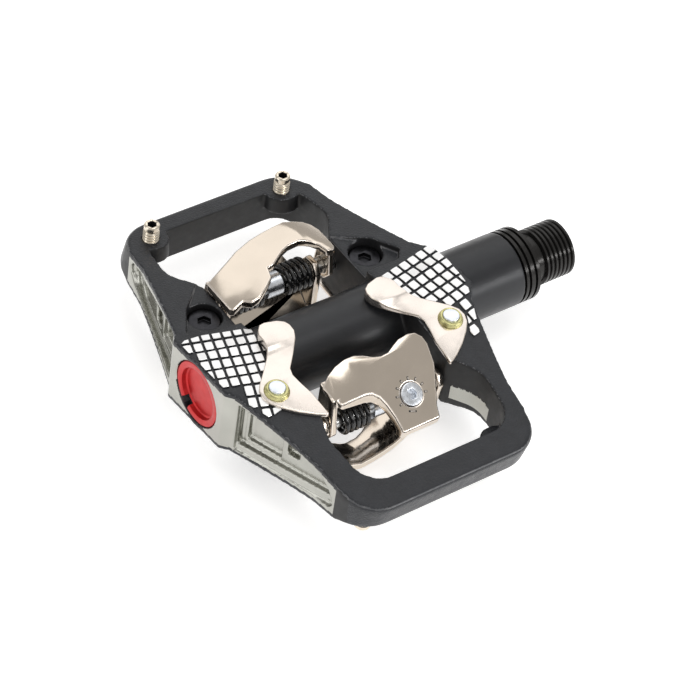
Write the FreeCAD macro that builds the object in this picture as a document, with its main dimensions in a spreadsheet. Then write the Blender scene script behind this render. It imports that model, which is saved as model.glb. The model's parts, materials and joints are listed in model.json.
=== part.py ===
import FreeCAD, Part
import math
import os
import Sketcher

# Dual-sided trail pedal with cleat retention on both faces.
# Row frame: origin at the centre of the crank shoulder face, +X along the spindle towards the
# crank arm, +Z up through the upper cleat face, +Y towards the end that carries the upper pins.
# Every piece of the lower face is its upper twin turned 180 degrees about X, and the lower hoop is
# mirrored in X as well.
# Sub-parts are drawn about the platform centre and moved by -q_offset along X by their Placement.

V = FreeCAD.Vector

DIMENSIONS = {
    # spindle
    "q_offset": 58.0, "thread_r": 7.1437, "thread_pitch": 1.27, "thread_depth": 0.65,
    "thread_turns": 7, "thread_len": 9.0, "neck_r": 6.3, "neck_len": 3.6,
    "flange_r": 9.3, "flange_len": 4.2, "groove_w": 0.7, "groove_depth": 0.8, "groove_pitch": 1.8,
    "groove_shift": 0.9, "thread_crest": 0.45,
    "journal_r": 5.4, "journal_len": 24.0, "shaft_r": 4.5, "shaft_end_x": -17.2,
    "stub_r": 3.5, "stub_end_x": -24.0, "key_hex_r": 4.6, "key_depth": 7.0,
    # barrel of the body and its bore
    "barrel_r": 9.34, "barrel_out_x": -34.8, "barrel_in_x": 53.4, "seal_bore_r": 7.9,
    "seal_depth": 2.4, "needle_bore_r": 7.6, "needle_len": 18.0, "core_bore_r": 5.6,
    "ball_bore_r": 7.7, "ball_bore_x": -5.0, "cap_bore_r": 8.3, "cap_depth": 5.4, "cap_sunk": 0.3,
    "cap_hollow_r": 6.6, "cap_floor": 2.6, "cap_dish_r": 6.3, "cap_dish_depth": 1.4,
    "cap_notch_in": 5.2, "cap_notch_out": 9.0, "cap_notch_half": 1.5, "cap_notch_angle": -57.0,
    # bearings between the bore and the spindle
    "needle_shell_t": 0.7, "needle_r": 0.7, "needle_play": 0.03, "needle_count": 18,
    "needle_shell_in": 1.0, "needle_in": 2.5, "needle_out": 1.0,
    "race_w": 4.6, "race_gap": 0.4, "race_seat": 1.2, "race_half_gap": 0.35, "ball_r": 0.9,
    "ball_play": 0.04, "ball_count": 14, "circlip_t": 1.1, "circlip_w": 1.15, "circlip_play": 0.05,
    "washer_r": 5.6, "washer_t": 0.9, "nut_hex_r": 6.1, "nut_inset": 0.6, "seal_play": 0.2,
    # cage outline, half sizes
    "end_y": 53.4, "end_top_y": 51.2, "end_x": 24.3, "blank_y": 60.0, "corner_r": 8.8, "arm_r": 20.0,
    "arm_end_x": 26.7, "arm_end_y": 36.0, "arm_mid_x": 28.4, "arm_mid_y": 29.0,
    "arm_root_x": 30.9, "arm_root_y": 20.0,
    "boss_out_x": 34.8, "boss_out_y": 10.6, "boss_out_side_x": 33.2, "boss_out_side_y": 12.4,
    "boss_in_x": 36.9, "boss_in_y": 7.6, "boss_in_side_x": 33.2, "boss_in_side_y": 12.4,
    "deck_z": 10.4, "deck_y": 11.0, "end_top_z": 3.4, "end_low_z": 4.4, "blank_z": 11.5,
    # windows
    "bar_in_y": 45.9, "win_end_x": 21.2, "win_mid_x": 22.9, "win_mid_y": 31.5,
    "win_narrow_mid_x": 20.3, "win_narrow_end_x": 18.9,
    "win_root_x": 17.8, "win_root_y": 24.0, "window_end_r": 7.0, "window_mid_r": 8.0, "pin_boss_r": 4.4,
    "pin_boss_h": 4.6,
    # side pockets
    "arm_side_x": 25.7, "arm_side_y": 42.0,
    # traction pins
    "pin_x": 18.7, "pin_y": 45.4, "pin_r": 2.0, "pin_top": 8.6, "pin_bottom": 0.0,
    "pin_key_r": 1.0, "pin_key_depth": 2.0,
    # counterbored screws of the arms
    "screw_x": 22.8, "screw_y": 15.6, "screw_bore_r": 4.2, "screw_floor": 2.6, "recess_z": 5.9,
    "screw_hole_r": 2.1, "screw_head_r": 3.8, "screw_head_h": 1.8, "screw_len": 5.0,
    "screw_key_r": 1.7, "screw_key_depth": 1.2,
    # cleat plates
    "plate_front_y": 2.6, "plate_step_y": -4.4, "plate_ramp_y": -6.2, "plate_notch_y": -12.0,
    "plate_tip_y": -26.6, "plate_top_z": 12.1, "plate_mid_z": 11.4, "plate_rear_z": 11.1,
    "plate_tip_z": 9.25, "plate_rise": 0.05, "plate_barrel_gap": 0.12,
    "rivet_x": 24.3, "rivet_y": -15.9, "rivet_r": 1.95, "rivet_rise": 0.45, "rivet_low_z": 3.0,
    "collar_r": 3.1, "collar_h": 1.0, "collar_taper": 0.5, "collar_lift": 0.02,
    # hinge pins, bushes and springs
    "pivot_y": 22.0, "pivot_r": 2.0, "pivot_half_len": 20.5, "pivot_fit": 0.05,
    "bush_r": 3.0, "bush_x0": -2.0, "bush_x1": 2.4,
    "coil_r": 3.4, "wire_r": 0.6, "coil_pitch": 1.45, "coil_turns": 5, "coil_left_x": -11.0,
    "coil_right_x": 2.9,
    # rear claws
    "claw_half_x": 15.3, "claw_t": 2.2, "claw_nose_y": 17.8, "claw_nose_z": 15.0,
    "claw_bend_y": 21.2, "claw_bend_z": 12.9, "claw_tail_y": 34.6, "claw_tail_z": 2.4,
    "claw_lip": 2.4, "claw_hook": 1.5, "claw_crease_x": 5.8, "claw_wing_drop": 1.7,
    "claw_wing_over": 2.0, "claw_wing_clear": 4.0,
    "claw_lip_y": 0.6, "claw_lip_t": 1.8, "claw_lip_root": 2.1, "claw_lip_rise": 2.0, "claw_under_y": 0.2,
    "claw_hook_y": 0.9, "claw_nose_t": 0.8, "claw_edge_y": 0.5,
    "claw_ear_t": 1.7, "claw_ear_right_x": 11.1, "claw_ear_left_x": 14.5,
    # front hoops
    "hoop_left_x": 18.0, "hoop_ridge_x": 2.4, "hoop_shoulder_x": 8.0, "hoop_right_x": 16.4,
    "hoop_foot_z": 8.2, "hoop_tail_z": 7.7, "hoop_crest_z": 10.6, "hoop_t": 2.2, "hoop_leg_t": 1.5,
    "hoop_leg_in": 0.7,
    # tension screws and nuts
    "bolt_x": 4.5, "bolt_y": 28.7, "bolt_proud": 0.4, "bolt_r": 1.95, "bolt_head_r": 2.75,
    "bolt_head_h": 1.3, "bolt_len": 5.0, "bolt_reach": 12.0, "bolt_key_r": 1.3, "bolt_key_depth": 1.6,
    "bolt_fit": 0.05, "nut_half_x": 3.2, "nut_half_w": 2.7, "nut_t": 1.5,
    "nut_gap": 2.5,
}

os.makedirs("parts", exist_ok=True)
doc = FreeCAD.newDocument("trail_pedal")

sheet = doc.addObject("Spreadsheet::Sheet", "params")
for row, (alias, value) in enumerate(DIMENSIONS.items(), start=1):
    sheet.set(f"A{row}", alias)
    sheet.set(f"B{row}", str(value))
    sheet.setAlias(f"B{row}", alias)
doc.recompute()

D = DIMENSIONS
SUBPARTS = {}
HALF_TURN = FreeCAD.Rotation(V(1, 0, 0), 180)


# side pockets of an arm: depth, then corners as (distance along the arm, height)
SIDE_POCKETS = [
    (1.1, [(0.9, 8.0), (10.7, 7.2), (20.1, 6.0), (24.9, 5.0), (28.0, 3.4), (30.0, 1.0), (30.6, -0.8),
           (29.6, -2.4), (0.9, -6.6)]),
    (2.6, [(0.9, 8.0), (10.7, 7.2), (20.1, 6.0), (24.9, 5.0), (27.4, 3.4), (28.8, 1.4), (29.0, 0.0),
           (0.9, -4.9)]),
    (3.8, [(2.2, 6.6), (12.2, 6.0), (12.2, -1.6), (2.2, -3.2)]),
    (4.4, [(13.6, 5.6), (17.0, 5.2), (17.0, 1.4), (13.6, 1.0)]),
]
# sunk corners of the deck beside the hoop's feet
RECESS_OUTBOARD = [(-17.0, 26.4), (-19.4, 25.0), (-26.0, 18.6), (-30.6, 11.4), (-30.2, 9.6), (-15.6, 7.9),
                   (-15.6, 12.0)]
RECESS_INBOARD = [(17.4, 24.6), (26.0, 18.0), (29.8, 11.6), (27.0, 8.4), (15.6, 8.4), (15.6, 14.0)]

# outlines of the claw and the hoop in plan, and of their ears about the hinge pin
CLAW_PLAN = [(-15.3, -20.6), (-13.0, -19.2), (-10.7, -18.4), (-7.6, -18.0), (-5.4, -18.0), (-3.2, -18.6),
             (-1.0, -19.6), (1.0, -20.1), (3.0, -20.0), (4.8, -19.2), (6.8, -18.4), (9.5, -18.1),
             (11.6, -18.4), (12.9, -19.6), (13.4, -21.2), (13.2, -25.0), (12.3, -27.2), (10.8, -30.2),
             (9.8, -32.2), (9.4, -34.0), (8.6, -36.0), (-1.1, -36.0), (-1.2, -33.6), (-1.6, -31.2),
             (-2.4, -28.8), (-3.4, -27.0), (-4.8, -26.0), (-6.6, -25.6), (-12.6, -25.2)]
PLATE_PLAN = [(18.2, 1.2), (17.2, 2.3), (15.8, 2.5), (12.8, 1.7), (11.3, 0.6), (10.8, -0.8), (10.9, -2.8),
              (12.0, -5.0), (15.0, -8.6), (17.9, -11.8), (18.4, -13.6), (18.0, -16.3), (17.3, -19.6),
              (17.1, -22.6), (16.9, -26.2), (17.6, -26.3), (19.6, -25.2), (22.8, -23.0), (25.7, -20.4),
              (27.6, -18.2), (28.3, -16.2), (28.0, -14.2), (26.8, -12.6), (24.0, -9.8), (21.2, -6.9),
              (19.6, -4.7), (19.0, -2.2), (19.0, -0.2)]
CLAW_EAR = [(3.4, -0.6), (1.6, -3.2), (-1.6, -3.2), (-3.5, -0.6), (-3.4, 11.0), (2.0, 9.6)]
HOOP_PLAN = [(-17.9, 22.6), (-15.0, 23.8), (-11.0, 25.5), (-7.3, 27.2), (-2.7, 28.4), (1.2, 29.2),
             (4.7, 29.7), (8.0, 30.0), (11.0, 29.9), (13.6, 29.4), (15.3, 28.1), (16.3, 26.0), (16.4, 21.0),
             (16.2, 19.4), (15.4, 18.3), (13.2, 18.2), (12.4, 20.6), (11.0, 21.9), (9.4, 22.5), (7.4, 22.7),
             (4.7, 22.5), (2.4, 21.6), (0.4, 20.3), (-1.7, 18.9), (-3.7, 18.6), (-4.6, 15.6), (-7.8, 13.3),
             (-10.4, 11.9), (-12.6, 11.7), (-14.0, 13.2), (-17.2, 12.1), (-17.9, 12.9)]
HOOP_LEG = [(-3.6, -0.6), (-1.6, -3.2), (1.6, -3.2), (3.4, -0.6), (2.2, 7.0), (-2.2, 7.0)]


def number(name):
    """Value of a sheet name, which may carry a minus sign or be a plain number."""
    if not isinstance(name, str):
        return name
    return -D[name[1:]] if name.startswith("-") else D[name]


def formula(name):
    """Expression for a sheet name, which may carry a minus sign."""
    return f"-params.{name[1:]}" if name.startswith("-") else f"params.{name}"


def keep(obj, label):
    """Register a finished sub-part under the name of its node."""
    obj.Label = label
    SUBPARTS[label] = obj
    return obj


def to_platform(obj):
    """Place a piece that is drawn about the platform centre."""
    obj.Placement = FreeCAD.Placement(V(-D["q_offset"], 0, 0), FreeCAD.Rotation())
    obj.setExpression("Placement.Base.x", "-params.q_offset")
    return obj


def new_body(label):
    body = doc.addObject("PartDesign::Body", label)
    return keep(to_platform(body), label)


def new_sketch(body, role, name, shift=V(0, 0, 0), turn=FreeCAD.Rotation()):
    sketch = body.newObject("Sketcher::SketchObject", f"{body.Name}_{name}")
    plane = next(f for f in body.Origin.OriginFeatures if f.Role == role)
    sketch.AttachmentSupport = [(plane, "")]
    sketch.MapMode = "FlatFace"
    sketch.AttachmentOffset = FreeCAD.Placement(shift, turn)
    return sketch


def pin_point(sketch, geo, pos, x, y):
    """Fix a point's two coordinates, each bound to the sheet when it is a name."""
    for kind, name in (("DistanceX", x), ("DistanceY", y)):
        index = sketch.addConstraint(Sketcher.Constraint(kind, -1, 1, geo, pos, number(name)))
        if isinstance(name, str):
            sketch.setExpression(f"Constraints[{index}]", formula(name))


def outline(sketch, points):
    """Closed polyline whose corners are bound to the sheet."""
    first = sketch.GeometryCount
    corners = [V(number(x), number(y), 0) for x, y in points]
    count = len(corners)
    for i in range(count):
        sketch.addGeometry(Part.LineSegment(corners[i], corners[(i + 1) % count]), False)
    for i in range(count):
        nxt = first + (i + 1) % count
        sketch.addConstraint(Sketcher.Constraint("Coincident", first + i, 2, nxt, 1))
    for i, (x, y) in enumerate(points):
        pin_point(sketch, first + i, 1, x, y)


def circle(sketch, x, y, radius):
    geo = sketch.addGeometry(Part.Circle(V(number(x), number(y), 0), V(0, 0, 1), number(radius)), False)
    pin_point(sketch, geo, 3, x, y)
    index = sketch.addConstraint(Sketcher.Constraint("Radius", geo, number(radius)))
    if isinstance(radius, str):
        sketch.setExpression(f"Constraints[{index}]", formula(radius))


def feature(body, kind, sketch, length=None, both=False, through=False, reverse=False):
    """Pad or Pocket of a sketch; through pockets run both ways past the blank."""
    made = body.newObject(f"PartDesign::{kind}", f"{sketch.Name}_{kind}")
    made.Profile = sketch
    if through:
        made.Length = 4 * D["end_y"]
        made.Midplane = True
    elif isinstance(length, str):
        made.setExpression("Length", formula(length))
        made.Midplane = both
    else:
        made.Length = length
        made.Midplane = both
    made.Reversed = reverse
    sketch.Visibility = False
    body.Tip = made
    doc.recompute()
    return made


def revolve(body, kind, sketch):
    """Full turn of a sketch about its own horizontal axis."""
    made = body.newObject(f"PartDesign::{kind}", f"{sketch.Name}_{kind}")
    made.Profile = sketch
    made.ReferenceAxis = (sketch, ["H_Axis"])
    made.Angle = 360
    body.Tip = made
    doc.recompute()
    return made


def soften(body, kind, size, chosen):
    """Fillet or chamfer on the edges that the filter chooses; skipped when none match."""
    base = body.Tip
    names = [f"Edge{i}" for i, e in enumerate(base.Shape.Edges, start=1) if chosen(e)]
    if not names:
        raise RuntimeError(f"{body.Label}: no edge to soften")
    made = body.newObject(f"PartDesign::{kind}", f"{base.Name}_{kind}")
    made.Base = (base, names)
    setattr(made, "Radius" if kind == "Fillet" else "Size", size)
    body.Tip = made
    doc.recompute()
    if not made.isValid() or made.Shape.Volume < 0.5 * base.Shape.Volume:
        raise RuntimeError(f"{body.Label}: {kind} failed")
    return made


def upright(edge):
    """True for straight edges along Z."""
    if edge.Curve.TypeId != "Part::GeomLine":
        return False
    return abs(edge.tangentAt(edge.FirstParameter).z) > 0.999


def steep(edge):
    """True for straight edges that run mostly along Z."""
    if edge.Curve.TypeId != "Part::GeomLine":
        return False
    return abs(edge.tangentAt(edge.FirstParameter).z) > 0.8


def cylinder(name, radius, x0, x1, y="0", z="0"):
    """Cylinder along X in the platform frame, between two named or numeric stations."""
    made = doc.addObject("Part::Cylinder", name)
    made.Radius = number(radius)
    if isinstance(radius, str):
        made.setExpression("Radius", formula(radius))
    made.Height = number(x1) - number(x0)
    made.Placement = FreeCAD.Placement(V(number(x0), float(y), float(z)), FreeCAD.Rotation(V(0, 1, 0), 90))
    return made


def cut(name, base, tool):
    made = doc.addObject("Part::Cut", name)
    made.Base = base
    made.Tool = tool
    return made


def group(label, pieces):
    made = doc.addObject("Part::Compound", label)
    made.Links = pieces
    return made


def half_turn_copy(source, label):
    """The lower face's twin of an upper piece: the same shape turned 180 degrees about X."""
    made = group(label, [source])
    made.Placement = FreeCAD.Placement(V(0, 0, 0), HALF_TURN)
    return keep(made, label)


# ---------------------------------------------------------------- cage with barrel
def make_pedal_body():
    body = new_body("pedal_body")
    plan = new_sketch(body, "XY_Plane", "plan")
    side = [("end_x", "blank_y"), ("arm_end_x", "arm_end_y"), ("arm_mid_x", "arm_mid_y"),
            ("arm_root_x", "arm_root_y")]
    inboard = [("boss_in_side_x", "boss_in_side_y"), ("boss_in_x", "boss_in_y")]
    outboard = [("boss_out_side_x", "boss_out_side_y"), ("boss_out_x", "boss_out_y")]
    right = side + inboard
    right += [(x, f"-{y}") for x, y in reversed(right)]
    left = side + outboard
    left = [(f"-{x}", f"-{y}") for x, y in left] + [(f"-{x}", y) for x, y in reversed(left)]
    outline(plan, right + left)

    feature(body, "Pad", plan, 2 * D["blank_z"], both=True)

    # side view: the deck falls away to both ends, and the end walls lean
    view = new_sketch(body, "YZ_Plane", "side_view")
    reach = 2 * D["blank_y"]
    outline(view, [(-reach, -reach), (reach, -reach), (reach, reach), (-reach, reach)])
    upper = [("end_top_y", "end_top_z"), ("-deck_y", "deck_z"), ("-end_y", "end_low_z")]
    lower = [tuple(f"-{n}".replace("--", "") for n in point) for point in upper]
    outline(view, upper + lower)
    feature(body, "Pocket", view, through=True)

    def at_corner(edge):
        return steep(edge) and abs(edge.CenterOfMass.y) > D["end_top_y"] and abs(edge.CenterOfMass.x) > 20

    def at_arm(edge):
        return upright(edge) and 15 < abs(edge.CenterOfMass.y) < D["end_top_y"] - 1

    soften(body, "Fillet", D["corner_r"], at_corner)
    soften(body, "Fillet", D["arm_r"], at_arm)

    windows = new_sketch(body, "XY_Plane", "windows")
    wide = [("win_root_x", "win_root_y"), ("win_mid_x", "win_mid_y"), ("win_end_x", "bar_in_y")]
    narrow = [wide[0], ("win_narrow_mid_x", "win_mid_y"), ("win_narrow_end_x", "bar_in_y")]
    rim = wide + [(f"-{x}", y) for x, y in reversed(wide)]
    rim += [(f"-{x}", f"-{y}") for x, y in narrow] + [(x, f"-{y}") for x, y in reversed(wide)]
    outline(windows, rim)
    feature(body, "Pocket", windows, through=True)

    def at_window_end(edge):
        return upright(edge) and abs(abs(edge.CenterOfMass.y) - D["bar_in_y"]) < 0.5

    def at_window_mid(edge):
        return upright(edge) and abs(abs(edge.CenterOfMass.y) - D["win_mid_y"]) < 0.5

    soften(body, "Fillet", D["window_end_r"], at_window_end)
    soften(body, "Fillet", D["window_mid_r"], at_window_mid)

    # half-height bosses for the traction pins, flush with the sloping top of the bar
    fall = (D["deck_z"] - D["end_top_z"]) / (D["end_top_y"] + D["deck_y"])
    boss_top_z = D["end_top_z"] + fall * (D["end_top_y"] - D["pin_y"])
    lean = math.degrees(math.atan(fall))
    for name, sign in (("pin_bosses_upper", 1), ("pin_bosses_lower", -1)):
        bosses = new_sketch(body, "XY_Plane", name, V(0, sign * D["pin_y"], sign * boss_top_z),
                            FreeCAD.Rotation(V(1, 0, 0), -lean))
        for side in ("", "-"):
            circle(bosses, f"{side}pin_x", 0, "pin_boss_r")
        feature(body, "Pad", bosses, "pin_boss_h", reverse=sign > 0)

    barrel = new_sketch(body, "YZ_Plane", "barrel", V(0, 0, D["barrel_out_x"]))
    barrel.setExpression("AttachmentOffset.Base.z", "params.barrel_out_x")
    circle(barrel, 0, 0, "barrel_r")
    feature(body, "Pad", barrel, D["barrel_in_x"] - D["barrel_out_x"])

    # stepped bore for the seal, the needle bearing, the ball bearings and the end cap
    bore = new_sketch(body, "XY_Plane", "bore")
    seal_x = D["barrel_in_x"] - D["seal_depth"]
    needle_x = seal_x - D["needle_len"]
    cap_x = D["barrel_out_x"] + D["cap_depth"]
    over = 1.0
    outline(bore, [
        (D["barrel_in_x"] + over, 0), (D["barrel_in_x"] + over, "seal_bore_r"), (seal_x, "seal_bore_r"),
        (seal_x, "needle_bore_r"), (needle_x, "needle_bore_r"), (needle_x, "core_bore_r"),
        ("ball_bore_x", "core_bore_r"), ("ball_bore_x", "ball_bore_r"), (cap_x, "ball_bore_r"),
        (cap_x, "cap_bore_r"), (D["barrel_out_x"] - over, "cap_bore_r"), (D["barrel_out_x"] - over, 0)])
    revolve(body, "Groove", bore)

    # sunk corners beside the hoop's feet, and the counterbores of the arm screws in them
    for name, sign in (("upper", 1), ("lower", -1)):
        recess = new_sketch(body, "XY_Plane", f"recess_{name}", V(0, 0, sign * D["recess_z"]))
        for corners in (RECESS_OUTBOARD, RECESS_INBOARD):
            outline(recess, [(x, sign * y) for x, y in corners])
        feature(body, "Pocket", recess, D["blank_z"], reverse=sign > 0)
        bores = new_sketch(body, "XY_Plane", f"screw_bores_{name}", V(0, 0, sign * D["screw_floor"]))
        y = "screw_y" if sign > 0 else "-screw_y"
        for side in ("", "-"):
            circle(bores, f"{side}screw_x", y, "screw_bore_r")
        feature(body, "Pocket", bores, D["blank_z"], reverse=sign > 0)
        shanks = new_sketch(body, "XY_Plane", f"screw_holes_{name}", V(0, 0, sign * D["screw_floor"]))
        for side in ("", "-"):
            circle(shanks, f"{side}screw_x", y, "screw_hole_r")
        feature(body, "Pocket", shanks, D["screw_len"], reverse=sign < 0)
        pins = new_sketch(body, "XY_Plane", f"pin_holes_{name}", V(0, 0, sign * D["pin_bottom"]))
        for side in ("", "-"):
            circle(pins, f"{side}pin_x", "pin_y" if sign > 0 else "-pin_y", "pin_r")
        feature(body, "Pocket", pins, D["blank_z"], reverse=sign > 0)
        seats = new_sketch(body, "XY_Plane", f"rivet_holes_{name}", V(0, 0, sign * D["rivet_low_z"]))
        for side in ("", "-"):
            circle(seats, f"{side}rivet_x", "-rivet_y" if sign < 0 else "rivet_y", "rivet_r")
        feature(body, "Pocket", seats, D["blank_z"], reverse=sign > 0)

    # seats of the two hinge pins
    for y in ("pivot_y", "-pivot_y"):
        seat = new_sketch(body, "YZ_Plane", "pin_seat_" + ("upper" if y == "pivot_y" else "lower"))
        circle(seat, y, 0, "pivot_r")
        feature(body, "Pocket", seat, 2 * D["pivot_half_len"], both=True)

    # stepped pockets machined into the four arms, each on a plane that follows the arm's side
    run = V(D["arm_side_x"] - D["boss_in_side_x"], D["arm_side_y"] - D["boss_in_side_y"], 0)
    splay = math.degrees(math.atan2(-run.x, run.y))
    for name, sx, sy in (("inboard_upper", 1, 1), ("inboard_lower", 1, -1),
                         ("outboard_upper", -1, 1), ("outboard_lower", -1, -1)):
        for step, (depth, corners) in enumerate(SIDE_POCKETS):
            floor = V(sy * D["boss_in_side_y"], 0, sx * (D["boss_in_side_x"] - depth))
            pocket = new_sketch(body, "YZ_Plane", f"side_pocket_{name}_{step}", floor,
                                FreeCAD.Rotation(V(0, 1, 0), sx * sy * splay))
            outline(pocket, [(sy * along, -sy * z) for along, z in corners])
            feature(body, "Pocket", pocket, D["barrel_r"], reverse=sx > 0)
    return body


# ---------------------------------------------------------------- spindle and bearings
def hexagon_corners(radius, x=0, y=0):
    """Corners of a hexagon about a point."""
    return [(x + radius * math.cos(math.radians(60 * k)), y + radius * math.sin(math.radians(60 * k)))
            for k in range(6)]


def make_spindle():
    body = doc.addObject("PartDesign::Body", "spindle")
    keep(body, "spindle")
    profile = new_sketch(body, "XY_Plane", "profile")
    q = D["q_offset"]
    points = [(D["stub_end_x"] - q, 0), (D["stub_end_x"] - q, "stub_r"), (D["shaft_end_x"] - q, "stub_r"),
              (D["shaft_end_x"] - q, "shaft_r")]
    journal_end = -D["flange_len"]
    journal_start = journal_end - D["journal_len"]
    points += [(journal_start, "shaft_r"), (journal_start, "journal_r"), (journal_end, "journal_r"),
               (journal_end, "flange_r")]
    for k in (2, 1):
        x1 = D["groove_shift"] - D["groove_pitch"] * k
        x0 = x1 - D["groove_w"]
        low = D["flange_r"] - D["groove_depth"]
        points += [(x0, "flange_r"), (x0, low), (x1, low), (x1, "flange_r")]
    neck_end = D["neck_len"]
    tip = neck_end + D["thread_len"]
    points += [(0, "flange_r"), (0, "neck_r"), (neck_end, "neck_r")]
    root = D["thread_r"] - D["thread_depth"]
    crest = D["thread_pitch"] * D["thread_crest"]
    for k in range(D["thread_turns"]):
        x = neck_end + k * D["thread_pitch"]
        points += [(x, root), (x + (D["thread_pitch"] - crest) / 2, "thread_r"),
                   (x + (D["thread_pitch"] + crest) / 2, "thread_r")]
    points += [(tip, root), (tip, 0)]
    outline(profile, points)
    revolve(body, "Revolution", profile)
    key = new_sketch(body, "YZ_Plane", "key", V(0, 0, tip))
    outline(key, hexagon_corners(D["key_hex_r"]))
    feature(body, "Pocket", key, "key_depth")
    return body


def ring(label, outer, inner, x0, x1):
    """Plain ring about the spindle axis."""
    blank = cylinder(label + "_outer", outer, x0, x1)
    return keep(to_platform(cut(label, blank, cylinder(label + "_inner", inner, x0 - 1, x1 + 1))), label)


def ball_ring(name, ball_r, pitch_r, count, x):
    """Separate balls on a pitch circle."""
    balls = []
    for k in range(count):
        ball = doc.addObject("Part::Sphere", f"{name}_{k}")
        ball.Radius = ball_r
        angle = 2 * math.pi * k / count
        ball.Placement.Base = V(x, pitch_r * math.cos(angle), pitch_r * math.sin(angle))
        balls.append(ball)
    return balls


def make_bearings():
    fit = D["pivot_fit"]
    seal_x = D["barrel_in_x"] - D["seal_depth"]
    ring("spindle_seal", D["seal_bore_r"], D["journal_r"] + fit, seal_x, D["barrel_in_x"] - D["seal_play"])
    shell_r = D["needle_bore_r"] - D["needle_shell_t"]
    ring("needle_shell", D["needle_bore_r"], shell_r, seal_x - D["needle_len"] + 1, seal_x)
    pitch_r = D["journal_r"] + D["needle_r"] + D["needle_play"]
    needles = []
    for k in range(D["needle_count"]):
        angle = 2 * math.pi * k / D["needle_count"]
        needles.append(cylinder(f"needle_{k}", "needle_r", seal_x - D["needle_len"] + D["needle_in"],
                                seal_x - D["needle_out"],
                                pitch_r * math.cos(angle), pitch_r * math.sin(angle)))
    keep(to_platform(group("needle_rollers", needles)), "needle_rollers")

    races_out, races_in, balls = [], [], []
    pitch = (D["shaft_r"] + D["ball_bore_r"]) / 2
    for k in range(2):
        x1 = D["ball_bore_x"] - D["race_seat"] - k * (D["race_w"] + D["race_gap"])
        x0 = x1 - D["race_w"]
        mid = (x0 + x1) / 2
        for races, big, small, side in ((races_out, "ball_bore_r", pitch + D["race_half_gap"], "out"),
                                        (races_in, pitch - D["race_half_gap"], "shaft_r", "in")):
            blank = cut(f"race_{side}_{k}_blank", cylinder(f"race_{side}_{k}_big", big, x0, x1),
                        cylinder(f"race_{side}_{k}_small", small, x0 - 1, x1 + 1))
            track = doc.addObject("Part::Torus", f"race_{side}_{k}_track")
            track.Radius1 = pitch
            track.Radius2 = D["ball_r"] + D["ball_play"]
            track.Placement = FreeCAD.Placement(V(mid, 0, 0), FreeCAD.Rotation(V(0, 1, 0), 90))
            races.append(cut(f"race_{side}_{k}", blank, track))
        balls += ball_ring(f"ball_{k}", D["ball_r"], pitch, D["ball_count"], mid)
    keep(to_platform(group("ball_bearing_outer_races", races_out)), "ball_bearing_outer_races")
    keep(to_platform(group("ball_bearing_inner_races", races_in)), "ball_bearing_inner_races")
    keep(to_platform(group("ball_bearing_balls", balls)), "ball_bearing_balls")
    clip_x = D["ball_bore_x"] - D["race_seat"] - 2 * D["race_w"] - D["race_gap"] - D["circlip_play"]
    ring("bearing_circlip", "ball_bore_r", D["ball_bore_r"] - D["circlip_t"], clip_x - D["circlip_w"], clip_x)
    washer_x = D["shaft_end_x"] - D["washer_t"]
    ring("thrust_washer", D["washer_r"], D["stub_r"], washer_x, D["shaft_end_x"])

    nut = new_body("lock_nut")
    nut_x = D["stub_end_x"] + D["nut_inset"]
    hexagon = new_sketch(nut, "YZ_Plane", "hexagon", V(0, 0, nut_x))
    outline(hexagon, hexagon_corners(D["nut_hex_r"]))
    circle(hexagon, 0, 0, "stub_r")
    feature(nut, "Pad", hexagon, washer_x - nut_x)


def make_end_cap():
    cap = new_body("end_cap")
    face_x = D["barrel_out_x"] + D["cap_sunk"]
    disc = new_sketch(cap, "YZ_Plane", "disc", V(0, 0, face_x))
    circle(disc, 0, 0, "cap_bore_r")
    feature(cap, "Pad", disc, D["cap_depth"] - D["cap_sunk"])
    hollow = new_sketch(cap, "YZ_Plane", "hollow", V(0, 0, face_x + D["cap_floor"]))
    circle(hollow, 0, 0, "cap_hollow_r")
    feature(cap, "Pocket", hollow, D["cap_depth"], reverse=True)
    dish = new_sketch(cap, "YZ_Plane", "dish", V(0, 0, face_x))
    circle(dish, 0, 0, "cap_dish_r")
    feature(cap, "Pocket", dish, "cap_dish_depth", reverse=True)
    notch = new_sketch(cap, "YZ_Plane", "notch", V(0, 0, face_x),
                       FreeCAD.Rotation(V(0, 0, 1), D["cap_notch_angle"]))
    near, far, half = D["cap_notch_in"], D["cap_notch_out"], D["cap_notch_half"]
    outline(notch, [(near, -half), (far, -half), (far, half), (near, half)])
    feature(cap, "Pocket", notch, "cap_dish_depth", reverse=True)


# ---------------------------------------------------------------- fasteners of the cage
def make_traction_pins():
    pins = []
    for name, sign in (("outboard", "-"), ("inboard", "")):
        body = doc.addObject("PartDesign::Body", f"traction_pin_{name}")
        shank = new_sketch(body, "XY_Plane", "shank", V(0, 0, D["pin_bottom"]))
        circle(shank, f"{sign}pin_x", "pin_y", "pin_r")
        feature(body, "Pad", shank, D["pin_top"] - D["pin_bottom"])
        key = new_sketch(body, "XY_Plane", "key", V(0, 0, D["pin_top"]))
        outline(key, hexagon_corners(D["pin_key_r"], number(f"{sign}pin_x"), D["pin_y"]))
        feature(body, "Pocket", key, "pin_key_depth")
        pins.append(body)
    upper = keep(to_platform(group("traction_pins_upper", pins)), "traction_pins_upper")
    half_turn_copy(upper, "traction_pins_lower")


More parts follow.
